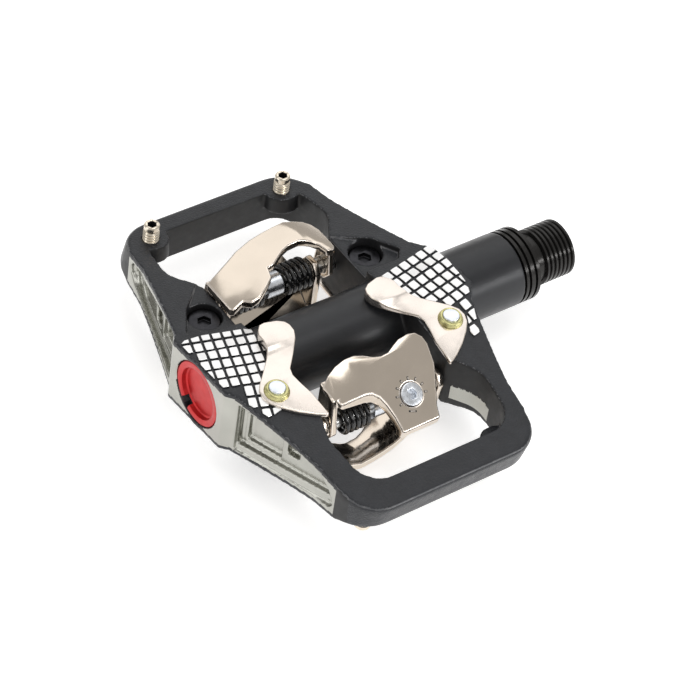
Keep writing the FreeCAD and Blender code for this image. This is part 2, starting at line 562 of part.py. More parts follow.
def make_arm_screws():
    screws = []
    for name, sign in (("outboard", "-"), ("inboard", "")):
        body = doc.addObject("PartDesign::Body", f"arm_screw_{name}")
        head = new_sketch(body, "XY_Plane", "head", V(0, 0, D["screw_floor"]))
        circle(head, f"{sign}screw_x", "screw_y", "screw_head_r")
        feature(body, "Pad", head, "screw_head_h")
        shank = new_sketch(body, "XY_Plane", "shank", V(0, 0, D["screw_floor"] - D["screw_len"]))
        circle(shank, f"{sign}screw_x", "screw_y", "screw_hole_r")
        feature(body, "Pad", shank, D["screw_len"] + 0.5)
        key = new_sketch(body, "XY_Plane", "key", V(0, 0, D["screw_floor"] + D["screw_head_h"]))
        outline(key, hexagon_corners(D["screw_key_r"], number(f"{sign}screw_x"), D["screw_y"]))
        feature(body, "Pocket", key, "screw_key_depth")
        screws.append(body)
    upper = keep(to_platform(group("arm_screws_upper", screws)), "arm_screws_upper")
    half_turn_copy(upper, "arm_screws_lower")


# ---------------------------------------------------------------- cleat side plates
def make_cleat_plate(label, sign):
    """Raised tongue beside the cleat, stepping down to an ear that one rivet holds."""
    body = new_body(label)
    view = new_sketch(body, "YZ_Plane", "side_view")
    rear_fall = (D["deck_z"] - D["end_low_z"]) / (D["end_y"] - D["deck_y"])
    base_z = D["deck_z"] + D["plate_rise"]
    low = [("plate_tip_y", base_z + rear_fall * (D["plate_tip_y"] + D["deck_y"])), ("-deck_y", base_z),
           ("plate_front_y", D["barrel_r"] + D["plate_barrel_gap"])]
    top = [("plate_front_y", "plate_top_z"), ("plate_step_y", "plate_top_z"),
           ("plate_ramp_y", "plate_mid_z"), ("plate_notch_y", "plate_rear_z"),
           ("plate_tip_y", "plate_tip_z")]
    outline(view, low + top)
    feature(body, "Pad", view, 4 * D["rivet_x"], both=True)

    # plan view: everything outside the plate's outline is cut away
    plan = new_sketch(body, "XY_Plane", "plan")
    reach = 3 * D["rivet_x"]
    outline(plan, [(-reach, -reach), (reach, -reach), (reach, reach), (-reach, reach)])
    edge = [(sign * x, y) for x, y in PLATE_PLAN]
    outline(plan, edge)
    feature(body, "Pocket", plan, through=True)
    hole = new_sketch(body, "XY_Plane", "rivet_hole")
    circle(hole, "rivet_x" if sign > 0 else "-rivet_x", "rivet_y", "rivet_r")
    feature(body, "Pocket", hole, through=True)
    return body


def make_plates_and_rivets():
    for side, sign in (("outboard", -1), ("inboard", 1)):
        upper = make_cleat_plate(f"cleat_plate_upper_{side}", sign)
        half_turn_copy(upper, f"cleat_plate_lower_{side}")
    slope = (D["plate_rear_z"] - D["plate_tip_z"]) / (D["plate_notch_y"] - D["plate_tip_y"])
    seat_z = D["plate_tip_z"] + slope * (D["rivet_y"] - D["plate_tip_y"])
    tilt = FreeCAD.Rotation(V(1, 0, 0), math.degrees(math.atan(slope)))
    collars, cores = [], []
    for side, sign in (("outboard", -1), ("inboard", 1)):
        x = sign * D["rivet_x"]
        big = doc.addObject("Part::Cone", f"collar_{side}_blank")
        big.Radius1 = D["collar_r"]
        big.Radius2 = D["collar_r"] - D["collar_taper"]
        big.Height = D["collar_h"]
        big.Placement = FreeCAD.Placement(V(x, D["rivet_y"], seat_z + D["collar_lift"]), tilt)
        core = doc.addObject("Part::Cylinder", f"rivet_{side}")
        core.setExpression("Radius", "params.rivet_r")
        core.Height = seat_z + D["collar_h"] + D["rivet_rise"] - D["rivet_low_z"]
        core.Placement.Base = V(x, D["rivet_y"], D["rivet_low_z"])
        gap = doc.addObject("Part::Cylinder", f"collar_{side}_hole")
        gap.setExpression("Radius", "params.rivet_r")
        gap.Height = 4 * D["collar_h"]
        gap.Placement.Base = V(x, D["rivet_y"], seat_z - D["collar_h"])
        collars.append(cut(f"collar_{side}", big, gap))
        cores.append(core)
    half_turn_copy(keep(to_platform(group("rivet_collars_upper", collars)), "rivet_collars_upper"),
                   "rivet_collars_lower")
    half_turn_copy(keep(to_platform(group("rivets_upper", cores)), "rivets_upper"), "rivets_lower")


# ---------------------------------------------------------------- hinge pins, bushes and springs
def make_hinge(label_end, y):
    """Pin across the window, a bush at its middle and a coil spring on each side of the bush."""
    pin = cylinder(f"hinge_pin_{label_end}", "pivot_r", -D["pivot_half_len"], D["pivot_half_len"], y)
    keep(pin, f"hinge_pin_{label_end}")
    pin.Placement.Base.x = -D["pivot_half_len"] - D["q_offset"]
    sleeve = cylinder(f"bush_{label_end}_outer", "bush_r", "bush_x0", "bush_x1", y)
    bore = cylinder(f"bush_{label_end}_inner", "pivot_r", D["bush_x0"] - 1, D["bush_x1"] + 1, y)
    keep(to_platform(cut(f"spring_bush_{label_end}", sleeve, bore)), f"spring_bush_{label_end}")
    springs = []
    for name, x in (("left", "coil_left_x"), ("right", "coil_right_x")):
        path = doc.addObject("Part::Helix", f"coil_path_{name}_{label_end}")
        path.setExpression("Radius", "params.coil_r")
        path.setExpression("Pitch", "params.coil_pitch")
        path.Height = D["coil_pitch"] * D["coil_turns"]
        wire = doc.addObject("Part::Circle", f"coil_wire_{name}_{label_end}")
        wire.setExpression("Radius", "params.wire_r")
        wire.Placement = FreeCAD.Placement(V(D["coil_r"], 0, 0), FreeCAD.Rotation(V(1, 0, 0), 90))
        coil = doc.addObject("Part::Sweep", f"coil_{name}_{label_end}")
        coil.Sections = [wire]
        coil.Spine = (path, [])
        coil.Solid = True
        coil.Frenet = True
        coil.Placement = FreeCAD.Placement(V(number(x), float(y), 0), FreeCAD.Rotation(V(0, 1, 0), 90))
        springs.append(coil)
    keep(to_platform(group(f"claw_springs_{label_end}", springs)), f"claw_springs_{label_end}")


# ---------------------------------------------------------------- rear claws
def make_rear_claw():
    """Pressed claw of the upper face, at the -Y end: sloping tail, hooked nose, two hinge ears."""
    body = new_body("rear_claw_upper")
    drop = D["claw_t"] / math.cos(claw_slope())
    view = new_sketch(body, "YZ_Plane", "side_view")
    lip_y = D["claw_lip_y"] - D["claw_tail_y"]
    lip_z = D["claw_tail_z"] - D["claw_lip"]
    hook_z = D["claw_nose_z"] - D["claw_hook"]
    outline(view, [("-claw_nose_y", "claw_nose_z"), ("-claw_bend_y", "claw_bend_z"),
                   ("-claw_tail_y", "claw_tail_z"), (lip_y, lip_z), (lip_y + D["claw_lip_t"], lip_z),
                   (lip_y + D["claw_lip_root"], D["claw_tail_z"] + D["claw_lip_rise"] - drop),
                   (D["claw_under_y"] - D["claw_bend_y"], D["claw_bend_z"] - drop),
                   (D["claw_under_y"] - D["claw_nose_y"], hook_z - D["claw_nose_t"]),
                   (D["claw_hook_y"] - D["claw_nose_y"], hook_z),
                   (D["claw_edge_y"] - D["claw_nose_y"], D["claw_nose_z"] - D["claw_under_y"])])
    feature(body, "Pad", view, 2 * D["claw_half_x"], both=True)

    # plan view: nose with its saddle, tapered right side, lip, and the arch beside the tail
    plan = new_sketch(body, "XY_Plane", "plan")
    reach = 3 * D["claw_half_x"]
    outline(plan, [(-reach, -reach), (reach, -reach), (reach, reach), (-reach, reach)])
    outline(plan, CLAW_PLAN)
    feature(body, "Pocket", plan, through=True)

    # the left wing falls away from the middle of the claw
    wing = new_sketch(body, "XZ_Plane", "wing", wing_seat(), bolt_turn())
    far_x = -D["claw_half_x"] - D["claw_wing_over"]
    outline(wing, [("-claw_crease_x", 0), (far_x, "-claw_wing_drop"), (far_x, "claw_wing_clear"),
                   ("-claw_crease_x", "claw_wing_clear")])
    feature(body, "Pocket", wing, 3 * D["claw_half_x"], both=True)

    # ears around the hinge pin, one at each end
    for name, x in (("right", D["claw_ear_right_x"]), ("left", -D["claw_ear_left_x"])):
        ear = new_sketch(body, "YZ_Plane", f"ear_{name}", V(0, 0, x))
        outline(ear, [(-D["pivot_y"] - y, z) for y, z in CLAW_EAR])
        feature(body, "Pad", ear, "claw_ear_t")

    hole = new_sketch(body, "YZ_Plane", "pin_hole")
    circle(hole, "-pivot_y", 0, D["pivot_r"] + D["pivot_fit"])
    feature(body, "Pocket", hole, through=True)
    bolt = new_sketch(body, "XY_Plane", "bolt_hole", bolt_seat(), bolt_turn())
    circle(bolt, 0, 0, D["bolt_r"] + D["bolt_fit"])
    feature(body, "Pocket", bolt, D["bolt_reach"], both=True)
    sink = new_sketch(body, "XY_Plane", "bolt_sink", bolt_seat(), bolt_turn())
    circle(sink, 0, 0, D["bolt_head_r"] + D["bolt_fit"])
    feature(body, "Pocket", sink, D["bolt_head_h"] - D["bolt_proud"] + D["bolt_fit"])
    half_turn_copy(body, "rear_claw_lower")


def claw_slope():
    """Fall of the rear claw's tail, in radians."""
    return math.atan2(D["claw_bend_z"] - D["claw_tail_z"], D["claw_tail_y"] - D["claw_bend_y"])


def bolt_seat():
    """Point where the tension screw's axis meets the tail's outer face."""
    rise = (D["claw_tail_y"] - D["bolt_y"]) * math.tan(claw_slope())
    return V(D["bolt_x"], -D["bolt_y"], D["claw_tail_z"] + rise)


def wing_seat():
    """Offset that puts an XZ sketch's origin on the tail's outer face, at the tension screw."""
    seat = bolt_seat()
    return V(0, seat.z, -seat.y)


def bolt_turn():
    """Rotation that takes +Z to the tail's outward normal."""
    return FreeCAD.Rotation(V(1, 0, 0), math.degrees(claw_slope()))


def make_tension_gear():
    """Screw in the tail of the rear claw and the nut plate that it draws along."""
    screw = doc.addObject("PartDesign::Body", "screw_blank")
    head = new_sketch(screw, "XY_Plane", "head", V(0, 0, D["bolt_proud"] - D["bolt_head_h"]))
    circle(head, 0, 0, "bolt_head_r")
    feature(screw, "Pad", head, "bolt_head_h")
    shank = new_sketch(screw, "XY_Plane", "shank", V(0, 0, -D["bolt_len"]))
    circle(shank, 0, 0, "bolt_r")
    feature(screw, "Pad", shank, D["bolt_len"])
    key = new_sketch(screw, "XY_Plane", "key", V(0, 0, D["bolt_proud"]))
    outline(key, hexagon_corners(D["bolt_key_r"]))
    feature(screw, "Pocket", key, "bolt_key_depth")
    nut = doc.addObject("PartDesign::Body", "nut_blank")
    plate = new_sketch(nut, "XY_Plane", "plate", V(0, 0, -D["nut_gap"] - D["nut_t"]))
    outline(plate, [("-nut_half_x", "-nut_half_w"), ("nut_half_x", "-nut_half_w"),
                    ("nut_half_x", "nut_half_w"), ("-nut_half_x", "nut_half_w")])
    circle(plate, 0, 0, D["bolt_r"] + D["bolt_fit"])
    feature(nut, "Pad", plate, "nut_t")
    seat = bolt_seat() - V(D["q_offset"], 0, 0)
    for blank, name in ((screw, "tension_screw"), (nut, "tension_nut")):
        blank.Placement = FreeCAD.Placement(seat, bolt_turn())
        upper = keep(group(f"{name}_upper", [blank]), f"{name}_upper")
        half_turn_copy(upper, f"{name}_lower")


# ---------------------------------------------------------------- front hoops
def make_front_hoop():
    """Fixed hoop at the +Y end: wing, arch and two legs. The lower face carries its mirror image."""
    body = new_body("front_hoop_upper")
    view = new_sketch(body, "XZ_Plane", "front_view")
    top = [("-hoop_left_x", "hoop_foot_z"), ("-hoop_ridge_x", "hoop_crest_z"),
           ("hoop_shoulder_x", "hoop_crest_z"), ("hoop_right_x", "hoop_tail_z")]
    outline(view, top + [(x, D[z] - D["hoop_t"]) for x, z in reversed(top)])
    feature(body, "Pad", view, 4 * D["hoop_left_x"], both=True)
    plan = new_sketch(body, "XY_Plane", "plan")
    reach = 4 * D["hoop_left_x"]
    outline(plan, [(-reach, -reach), (reach, -reach), (reach, reach), (-reach, reach)])
    outline(plan, HOOP_PLAN)
    feature(body, "Pocket", plan, through=True)
    for name, x in (("right", D["hoop_right_x"] - D["hoop_leg_t"]),
                    ("left", D["hoop_leg_in"] - D["hoop_left_x"])):
        leg = new_sketch(body, "YZ_Plane", f"leg_{name}", V(0, 0, x))
        outline(leg, [(D["pivot_y"] + y, z) for y, z in HOOP_LEG])
        feature(body, "Pad", leg, "hoop_leg_t")
    hole = new_sketch(body, "YZ_Plane", "pin_hole")
    circle(hole, "pivot_y", 0, "pivot_r")
    feature(body, "Pocket", hole, through=True)
    other_hand = doc.addObject("Part::Mirroring", "hoop_other_hand")
    other_hand.Source = body
    other_hand.Normal = V(1, 0, 0)
    other_hand.Base = V(-D["q_offset"], 0, 0)
    half_turn_copy(other_hand, "front_hoop_lower")


make_pedal_body()
make_spindle()
make_bearings()
make_end_cap()
make_traction_pins()
make_arm_screws()
make_plates_and_rivets()
make_hinge("upper_end", D["pivot_y"])
make_hinge("lower_end", -D["pivot_y"])
make_rear_claw()
make_tension_gear()
make_front_hoop()
doc.recompute()

# every object has to be sound before anything is written
for obj in doc.Objects:
    if "Invalid" in obj.State or "Error" in obj.State:
        raise RuntimeError(f"{obj.Name} is not valid: {obj.State}")
for label, obj in SUBPARTS.items():
    shape = obj.Shape
    if shape.isNull() or not shape.isValid():
        raise RuntimeError(f"{label} has no valid shape")
    print(f"{label}: {len(shape.Solids)} solid(s), {shape.Volume:.1f} mm3")
    shape.exportStep(f"parts/{label}.step")
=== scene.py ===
import json
import math

import bmesh
import bpy
from mathutils import Matrix, Vector
from mathutils.bvhtree import BVHTree


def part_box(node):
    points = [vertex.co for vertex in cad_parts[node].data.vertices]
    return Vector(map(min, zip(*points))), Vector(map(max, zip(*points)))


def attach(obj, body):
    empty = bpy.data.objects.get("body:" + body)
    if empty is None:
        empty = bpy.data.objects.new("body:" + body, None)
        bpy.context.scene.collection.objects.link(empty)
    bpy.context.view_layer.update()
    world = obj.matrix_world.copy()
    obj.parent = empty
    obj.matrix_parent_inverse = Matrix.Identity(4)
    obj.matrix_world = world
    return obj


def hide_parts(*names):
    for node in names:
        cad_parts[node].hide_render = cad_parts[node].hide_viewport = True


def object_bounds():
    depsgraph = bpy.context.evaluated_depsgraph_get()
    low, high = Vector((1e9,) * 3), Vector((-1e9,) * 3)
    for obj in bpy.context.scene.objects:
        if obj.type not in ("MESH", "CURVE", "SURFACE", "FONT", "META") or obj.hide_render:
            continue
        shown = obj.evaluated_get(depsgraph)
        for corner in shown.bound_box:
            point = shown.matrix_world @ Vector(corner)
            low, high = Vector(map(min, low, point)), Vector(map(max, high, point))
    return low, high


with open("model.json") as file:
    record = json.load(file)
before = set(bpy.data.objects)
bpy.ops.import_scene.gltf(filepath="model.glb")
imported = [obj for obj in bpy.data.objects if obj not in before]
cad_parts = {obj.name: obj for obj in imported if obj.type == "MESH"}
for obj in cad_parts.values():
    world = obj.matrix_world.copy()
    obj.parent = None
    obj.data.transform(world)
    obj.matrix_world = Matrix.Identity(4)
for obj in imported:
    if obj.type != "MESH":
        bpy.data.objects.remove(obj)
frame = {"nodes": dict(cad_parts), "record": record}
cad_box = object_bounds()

MM = 0.001
SHIFT = 58.0  # the row frame starts at the crank shoulder, this far inboard of the platform centre
TURNED = Matrix.Rotation(math.pi, 4, "X")  # the lower face is the upper face turned about the spindle
SCENE = bpy.context.scene


def at(x, y, z):
    """Point of the platform frame, in millimetres, as a point of the row frame in metres."""
    return Vector(((x - SHIFT) * MM, y * MM, z * MM))


# ---------------------------------------------------------------- materials

def tint(colour, k):
    """Colour made lighter or darker by a factor, with full opacity."""
    return tuple(min(1.0, c * k) for c in colour) + (1.0,)


def finish(name, colour, metallic=0.0, rough=0.4, vary=0.12, blotch=180.0, rough_vary=0.06, grain=3500.0,
           bump=0.15, depth=0.03, brush=None, coat=0.0, specular=0.5, wear_and_sheen=None):
    """Procedural finish: mottled colour, uneven gloss and a fine grain, brushed along an axis if asked."""
    made = bpy.data.materials.new(name)
    made.use_nodes = True
    nodes, links = made.node_tree.nodes, made.node_tree.links
    shader = nodes["Principled BSDF"]
    shader.inputs["Metallic"].default_value = metallic
    shader.inputs["Coat Weight"].default_value = coat
    shader.inputs["Coat Roughness"].default_value = 0.12
    shader.inputs["Specular IOR Level"].default_value = specular
    place = nodes.new("ShaderNodeTexCoord")

    def noise(scale, detail, stretch=None):
        node = nodes.new("ShaderNodeTexNoise")
        node.inputs["Scale"].default_value = scale
        node.inputs["Detail"].default_value = detail
        if stretch:
            mapping = nodes.new("ShaderNodeMapping")
            mapping.inputs["Scale"].default_value = stretch
            links.new(place.outputs["Object"], mapping.inputs["Vector"])
            links.new(mapping.outputs["Vector"], node.inputs["Vector"])
        else:
            links.new(place.outputs["Object"], node.inputs["Vector"])
        return node

    def ramp(source, low, high, start=0.3, end=0.7):
        node = nodes.new("ShaderNodeMapRange")
        node.inputs["From Min"].default_value = start
        node.inputs["From Max"].default_value = end
        node.inputs["To Min"].default_value = low
        node.inputs["To Max"].default_value = high
        links.new(source, node.inputs["Value"])
        return node.outputs["Result"]

    def mix(factor, first, second):
        node = nodes.new("ShaderNodeMix")
        node.data_type = "RGBA"
        links.new(factor, node.inputs[0])
        for socket, value in ((6, first), (7, second)):
            if isinstance(value, tuple):
                node.inputs[socket].default_value = value
            else:
                links.new(value, node.inputs[socket])
        return node.outputs[2]

    patches = noise(blotch, 5.0)
    base = mix(ramp(patches.outputs["Fac"], 0.0, 1.0), tint(colour, 1 - vary), tint(colour, 1 + vary))
    # optional lighter specks, used only on the coat's rims as wear and painted highlight
    if wear_and_sheen:
        wear_and_sheen_specks = noise(wear_and_sheen[1], 6.0)
        base = mix(ramp(wear_and_sheen_specks.outputs["Fac"], 0.0, wear_and_sheen[2], 0.46, 0.62), base, tuple(wear_and_sheen[0]) + (1.0,))
    links.new(base, shader.inputs["Base Color"])
    fine = noise(grain, 3.0, brush)
    blend = noise(blotch * 2.3, 3.0)
    gloss = ramp(blend.outputs["Fac"], rough - rough_vary, rough + rough_vary)
    links.new(gloss, shader.inputs["Roughness"])
    relief = nodes.new("ShaderNodeBump")
    relief.inputs["Strength"].default_value = bump
    relief.inputs["Distance"].default_value = depth * MM
    links.new(fine.outputs["Fac"], relief.inputs["Height"])
    links.new(relief.outputs["Normal"], shader.inputs["Normal"])
    return made


COAT = finish("powder_coat", (0.0125, 0.014, 0.018), 0.0, 0.38, 0.2, 260, 0.06, 2000, 0.9, 0.18,
              specular=0.42)
# lighter coat with light specks for the rounded rims: partly edge wear, partly a painted highlight where
# the rims catch the light
COAT_RIM_WEAR_AND_HIGHLIGHT = finish("powder_coat_edge", (0.070, 0.072, 0.078), 0.2, 0.34, 0.12, 300, 0.04, 2600, 0.3, 0.05,
                   wear_and_sheen=((0.15, 0.15, 0.155), 500.0, 0.6))
# darker coat, painted shade for the inner walls of the windows and the sides of the grip lands
COAT_PAINTED_SHADE = finish("powder_coat_inner", (0.009, 0.009, 0.010), 0.0, 0.5, 0.15, 260, 0.05, 5200, 0.4, 0.05)
SILVER = finish("machined_silver", (0.42, 0.42, 0.385), 1.0, 0.20, 0.06, 140, 0.05, 900, 0.12, 0.03,
                brush=(1, 1, 9))
SLEEVE = finish("anodised_sleeve", (0.018, 0.019, 0.022), 0.25, 0.36, 0.1, 220, 0.04, 6000, 0.12, 0.02)
SPINDLE = finish("black_spindle", (0.022, 0.021, 0.020), 0.65, 0.24, 0.15, 300, 0.05, 1600, 0.1, 0.02,
                 brush=(9, 1, 1))
NICKEL = finish("polished_nickel", (0.68, 0.60, 0.51), 1.0, 0.13, 0.05, 90, 0.04, 700, 0.1, 0.03)
NICKEL_EDGE = finish("nickel_edge", (0.80, 0.72, 0.64), 1.0, 0.22, 0.1, 300, 0.05, 1500, 0.15, 0.03)
PLATE = finish("plate_steel", (0.82, 0.75, 0.69), 1.0, 0.24, 0.04, 110, 0.05, 1800, 0.12, 0.02, (1, 6, 1))
ZINC = finish("bright_zinc", (0.74, 0.77, 0.82), 1.0, 0.28, 0.12, 500, 0.08, 2500, 0.2, 0.03)
RIVET = finish("rivet_steel", (0.80, 0.84, 0.92), 1.0, 0.32, 0.06, 400, 0.06, 2500, 0.15, 0.02)
CHROMATE = finish("yellow_chromate", (0.55, 0.52, 0.25), 1.0, 0.27, 0.25, 600, 0.06, 2500, 0.15, 0.02)
SPRING = finish("black_spring", (0.010, 0.010, 0.011), 0.1, 0.26, 0.2, 600, 0.06, 3000, 0.1, 0.02, coat=0.4)
STEEL = finish("bearing_steel", (0.58, 0.58, 0.57), 1.0, 0.26, 0.08, 300, 0.05, 2500, 0.12, 0.02)
PIN = finish("pin_nickel", (0.80, 0.72, 0.60), 1.0, 0.2, 0.12, 500, 0.06, 2600, 0.12, 0.02)
RED = finish("red_anodised", (0.52, 0.030, 0.032), 0.75, 0.34, 0.08, 300, 0.05, 2600, 0.15, 0.02)
RUBBER = finish("seal_rubber", (0.014, 0.014, 0.014), 0.0, 0.6, 0.15, 300, 0.05, 4000, 0.3, 0.04)
PAD_TOP = finish("grip_cut_face", (0.93, 0.93, 0.93), 0.55, 0.34, 0.04, 500, 0.05, 2600, 0.15, 0.02)
# zinc darkened as painted shade for the arm screws sunk in their counterbores
ZINC_PAINTED_SHADE = finish("dull_zinc", (0.045, 0.045, 0.05), 1.0, 0.36, 0.15, 500, 0.08, 2500, 0.2, 0.03)
# near black, painted shadow inside sockets, in the cap's notch and round the raised tension marks
PAINTED_SHADOW = finish("socket_shadow", (0.020, 0.020, 0.022), 0.4, 0.45, 0.1, 500, 0.05, 3000, 0.1, 0.02)

SLOT_LOOK = {"body_black": COAT, "spindle_black": SPINDLE, "seal_rubber": RUBBER, "bearing_steel": STEEL,
             "fastener_zinc": ZINC, "cap_red": RED, "plate_steel": PLATE, "collar_chromate": CHROMATE,
             "spring_black": SPRING, "claw_nickel": NICKEL}
NODE_LOOK = {"rivets_upper": RIVET, "rivets_lower": RIVET, "traction_pins_upper": PIN,
             "traction_pins_lower": PIN, "arm_screws_upper": ZINC_PAINTED_SHADE, "arm_screws_lower": ZINC_PAINTED_SHADE,
             "spring_bush_upper_end": ZINC, "spring_bush_lower_end": ZINC}
SLOT = {s["node"]: s["material_slot"] for s in frame["record"]["subparts"]}
BODY = {n: b for b, members in frame["record"]["behaviour"]["bodies"].items() for n in members}
for node, obj in frame["nodes"].items():
    obj.data.materials.clear()
    obj.data.materials.append(NODE_LOOK.get(node, SLOT_LOOK[SLOT[node]]))


# ---------------------------------------------------------------- mesh helpers

def piece(name, bm, body, looks, stands_for=(), smooth=35.0):
    """Finished mesh piece: shaded smooth up to an angle, dressed and tied to its body."""
    mesh = bpy.data.meshes.new(name)
    bm.normal_update()
    for edge in bm.edges:
        edge.smooth = not edge.is_manifold or edge.calc_face_angle(0.0) < math.radians(smooth)
    for face in bm.faces:
        face.smooth = True
    bm.to_mesh(mesh)
    bm.free()
    for look in looks:
        mesh.materials.append(look)
    obj = bpy.data.objects.new(name, mesh)
    SCENE.collection.objects.link(obj)
    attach(obj, body)
    if stands_for:
        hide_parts(*stands_for)
    return obj


WELD_GAP, FLAT_WITHIN = 2e-6, math.radians(0.6)


def node_mesh(node):
    """Welded copy of a CAD node's mesh, with flat areas merged into single faces."""
    bm = bmesh.new()
    bm.from_mesh(frame["nodes"][node].data)
    bmesh.ops.remove_doubles(bm, verts=bm.verts, dist=WELD_GAP)
    bmesh.ops.dissolve_limit(bm, angle_limit=FLAT_WITHIN, verts=bm.verts, edges=bm.edges)
    for face in bm.faces:
        face.material_index = 0
    return bm


def round_edges(bm, width, material=-1, steps=3, angle=30.0):
    """Bevels every edge that turns by more than an angle, given in degrees."""
    edges = [e for e in bm.edges if e.is_manifold and e.calc_face_angle(0.0) > math.radians(angle)]
    if edges:
        bmesh.ops.bevel(bm, geom=edges, offset=width * MM, offset_type="OFFSET", segments=steps,
                        profile=0.5, affect="EDGES", clamp_overlap=False, material=material)


def keep_inside(bm, tree, slack=0.02):
    """Bevels may throw a sliver past a sharp corner: such points go back to the surface of the solid."""
    for v in bm.verts:
        spot, normal, _, far = tree.find_nearest(v.co)
        if far > slack * MM and (v.co - spot).dot(normal) > 0:
            v.co = spot


def soften(node, width, looks, edge_material=-1):
    """Bevelled copy of a CAD node, which it stands for."""
    bm = node_mesh(node)
    tree = BVHTree.FromBMesh(bm)
    round_edges(bm, width, edge_material)
    keep_inside(bm, tree)
    piece(node + "_softened", bm, BODY[node], looks, (node,))


# ---------------------------------------------------------------- the cage

# the cage in millimetres: x from its middle along the spindle, y from the spindle's axis
BOSS_Y, BOSS_X = 12.4, 33.2  # where the boss meets the arms
ARM_LINE = [(BOSS_Y, BOSS_X), (20.0, 30.9), (29.0, 28.4), (36.0, 26.7), (53.0, 24.3)]
SLEEVE_R, SLEEVE_HALF, SLEEVE_INBOARD = 9.8, 17.6, 37.2  # smooth barrel, between the arms and past them
SIDE_END, SIDE_BAND, SIDE_SKIN = 43.2, 1.2, 0.5  # machined sides: end, coated band at the rims, depth
POCKET_START, POCKET_DEEP = 8.0, 5.3  # machined pockets in the sides
WINDOW_END, BAR_END = 47.0, 50.5  # inner walls get painted shade up to these distances from the spindle
FACET_X, FACET_Y, FACET_Z = (19.0, 25.5), (25.0, 36.0), (-4.0, 0.0)  # bare patch on the inboard arm
FACING, UPRIGHT = 0.6, 0.5  # least lean of a normal along an axis, and most lean towards Z on a wall
OUTWARD, SIDEWAYS = 0.3, 0.2  # lean of a normal away from the cage's middle
HIGHLIT_RIM_LEAN = (0.5, 0.84)  # lean towards Z of the rounded rims, whose lighter coat is partly wear and partly a painted highlight
RIM_START, RIM_SIDE_START = 40.0, 46.0  # only the end bars are rounded, and their sides further out
RIM_X, RIM_Y, RIM_CORNER, RIM_FADE = 21.6, 49.6, 69.5, 1.2  # where rounding starts, and how it fades in
CAGE_VOXEL = 0.3
RIM_TURNS, CAGE_TURNS = 70, 7
COATED, BARE, SHADED_INNER, SMOOTH, WORN_AND_HIGHLIT = range(5)  # the cage's finishes, in the order of its materials; the darker inner coat is painted shade and the lighter rim coat is partly painted highlight


def arm_line(y):
    """Half width of the cage at a distance from the spindle."""
    for (y0, x0), (y1, x1) in zip(ARM_LINE, ARM_LINE[1:]):
        if y <= y1:
            return x0 + (x1 - x0) * (y - y0) / (y1 - y0)
    return ARM_LINE[-1][1]


def cage_kind(spot, n, tree):
    """Which finish a point of the cage has. Rounded rims of the coat get a lighter coat later on, partly
    wear and partly a painted highlight.
    """
    x, y, z = spot.x / MM + SHIFT, abs(spot.y / MM), spot.z / MM
    out = n.x * (1 if x > 0 else -1)
    outside = spot + n * 0.05 * MM
    up, down = (tree.ray_cast(outside, Vector((0, 0, k)))[0] is not None for k in (1, -1))
    if math.hypot(y, z) < SLEEVE_R and abs(n.x) < FACING and (abs(x) < SLEEVE_HALF or x > SLEEVE_INBOARD):
        return SMOOTH
    if abs(n.z) > FACING and not (up if n.z > 0 else down):
        return COATED
    side_x = (arm_line(y) if y > BOSS_Y else BOSS_X) - SIDE_SKIN
    if abs(x) > side_x and out > OUTWARD and y < SIDE_END:
        skin = tree.ray_cast(spot - n * SIDE_SKIN * MM, Vector((0, 0, 1 if z > 0 else -1)))
        return COATED if skin[0] is not None and skin[3] < SIDE_BAND * MM else BARE
    by_side = POCKET_START < y < SIDE_END and abs(x) > arm_line(y) - POCKET_DEEP
    if by_side and out > -OUTWARD and up and down:
        return BARE
    facet = zip((x, y, z), (FACET_X, FACET_Y, FACET_Z))
    if all(low < value < high for value, (low, high) in facet) and spot.y < 0 and abs(n.z) < FACING:
        return BARE
    # upright walls inside the windows take the darker coat as painted shade
    inner = abs(n.z) < UPRIGHT and (y < WINDOW_END or out < SIDEWAYS and y < BAR_END)
    return SHADED_INNER if inner else COATED


def rim_weight(co):
    """How strongly a point of the cage is rounded: full on the outer rims of the end bars."""
    x, y = abs(co.x / MM + SHIFT), abs(co.y / MM)
    if y < RIM_START:
        return 0.0
    reach = max(y - RIM_Y, x - RIM_X if y > RIM_SIDE_START else -1.0, x + y - RIM_CORNER)
    return max(0.0, min(1.0, reach / RIM_FADE))


def make_cage():
    """Cage remeshed to even quads, so that every rim comes out softly rounded like a coated casting."""
    bm = node_mesh("pedal_body")
    bmesh.ops.triangulate(bm, faces=bm.faces)
    tree = BVHTree.FromBMesh(bm)
    mesh = bpy.data.meshes.new("cage")
    bm.to_mesh(mesh)
    bm.free()
    obj = bpy.data.objects.new("cage", mesh)
    SCENE.collection.objects.link(obj)
    remesh = obj.modifiers.new("even", "REMESH")
    remesh.mode, remesh.voxel_size = "VOXEL", CAGE_VOXEL * MM
    apply_modifiers(obj)
    rims = obj.vertex_groups.new(name="rims")
    for v in obj.data.vertices:
        weight = rim_weight(v.co)
        if weight:
            rims.add([v.index], weight, "REPLACE")
    for group, turns in (("rims", RIM_TURNS), ("", CAGE_TURNS)):
        soft = obj.modifiers.new("soft", "SMOOTH")
        soft.factor, soft.iterations, soft.vertex_group = 0.5, turns, group
    apply_modifiers(obj)
    for face in obj.data.polygons:
        spot, normal, _, _ = tree.find_nearest(face.center)
        face.material_index = cage_kind(spot, normal, tree)
        # faces leaning between these bounds are the rounded rims: they get the lighter coat, partly wear
        # and partly a painted highlight
        if face.material_index in (COATED, SHADED_INNER) and HIGHLIT_RIM_LEAN[0] < abs(face.normal.z) < HIGHLIT_RIM_LEAN[1]:
            face.material_index = WORN_AND_HIGHLIT
        face.use_smooth = True
    for look in (COAT, SILVER, COAT_PAINTED_SHADE, SLEEVE, COAT_RIM_WEAR_AND_HIGHLIGHT):
        obj.data.materials.append(look)
    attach(obj, "platform")
    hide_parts("pedal_body")
    return obj


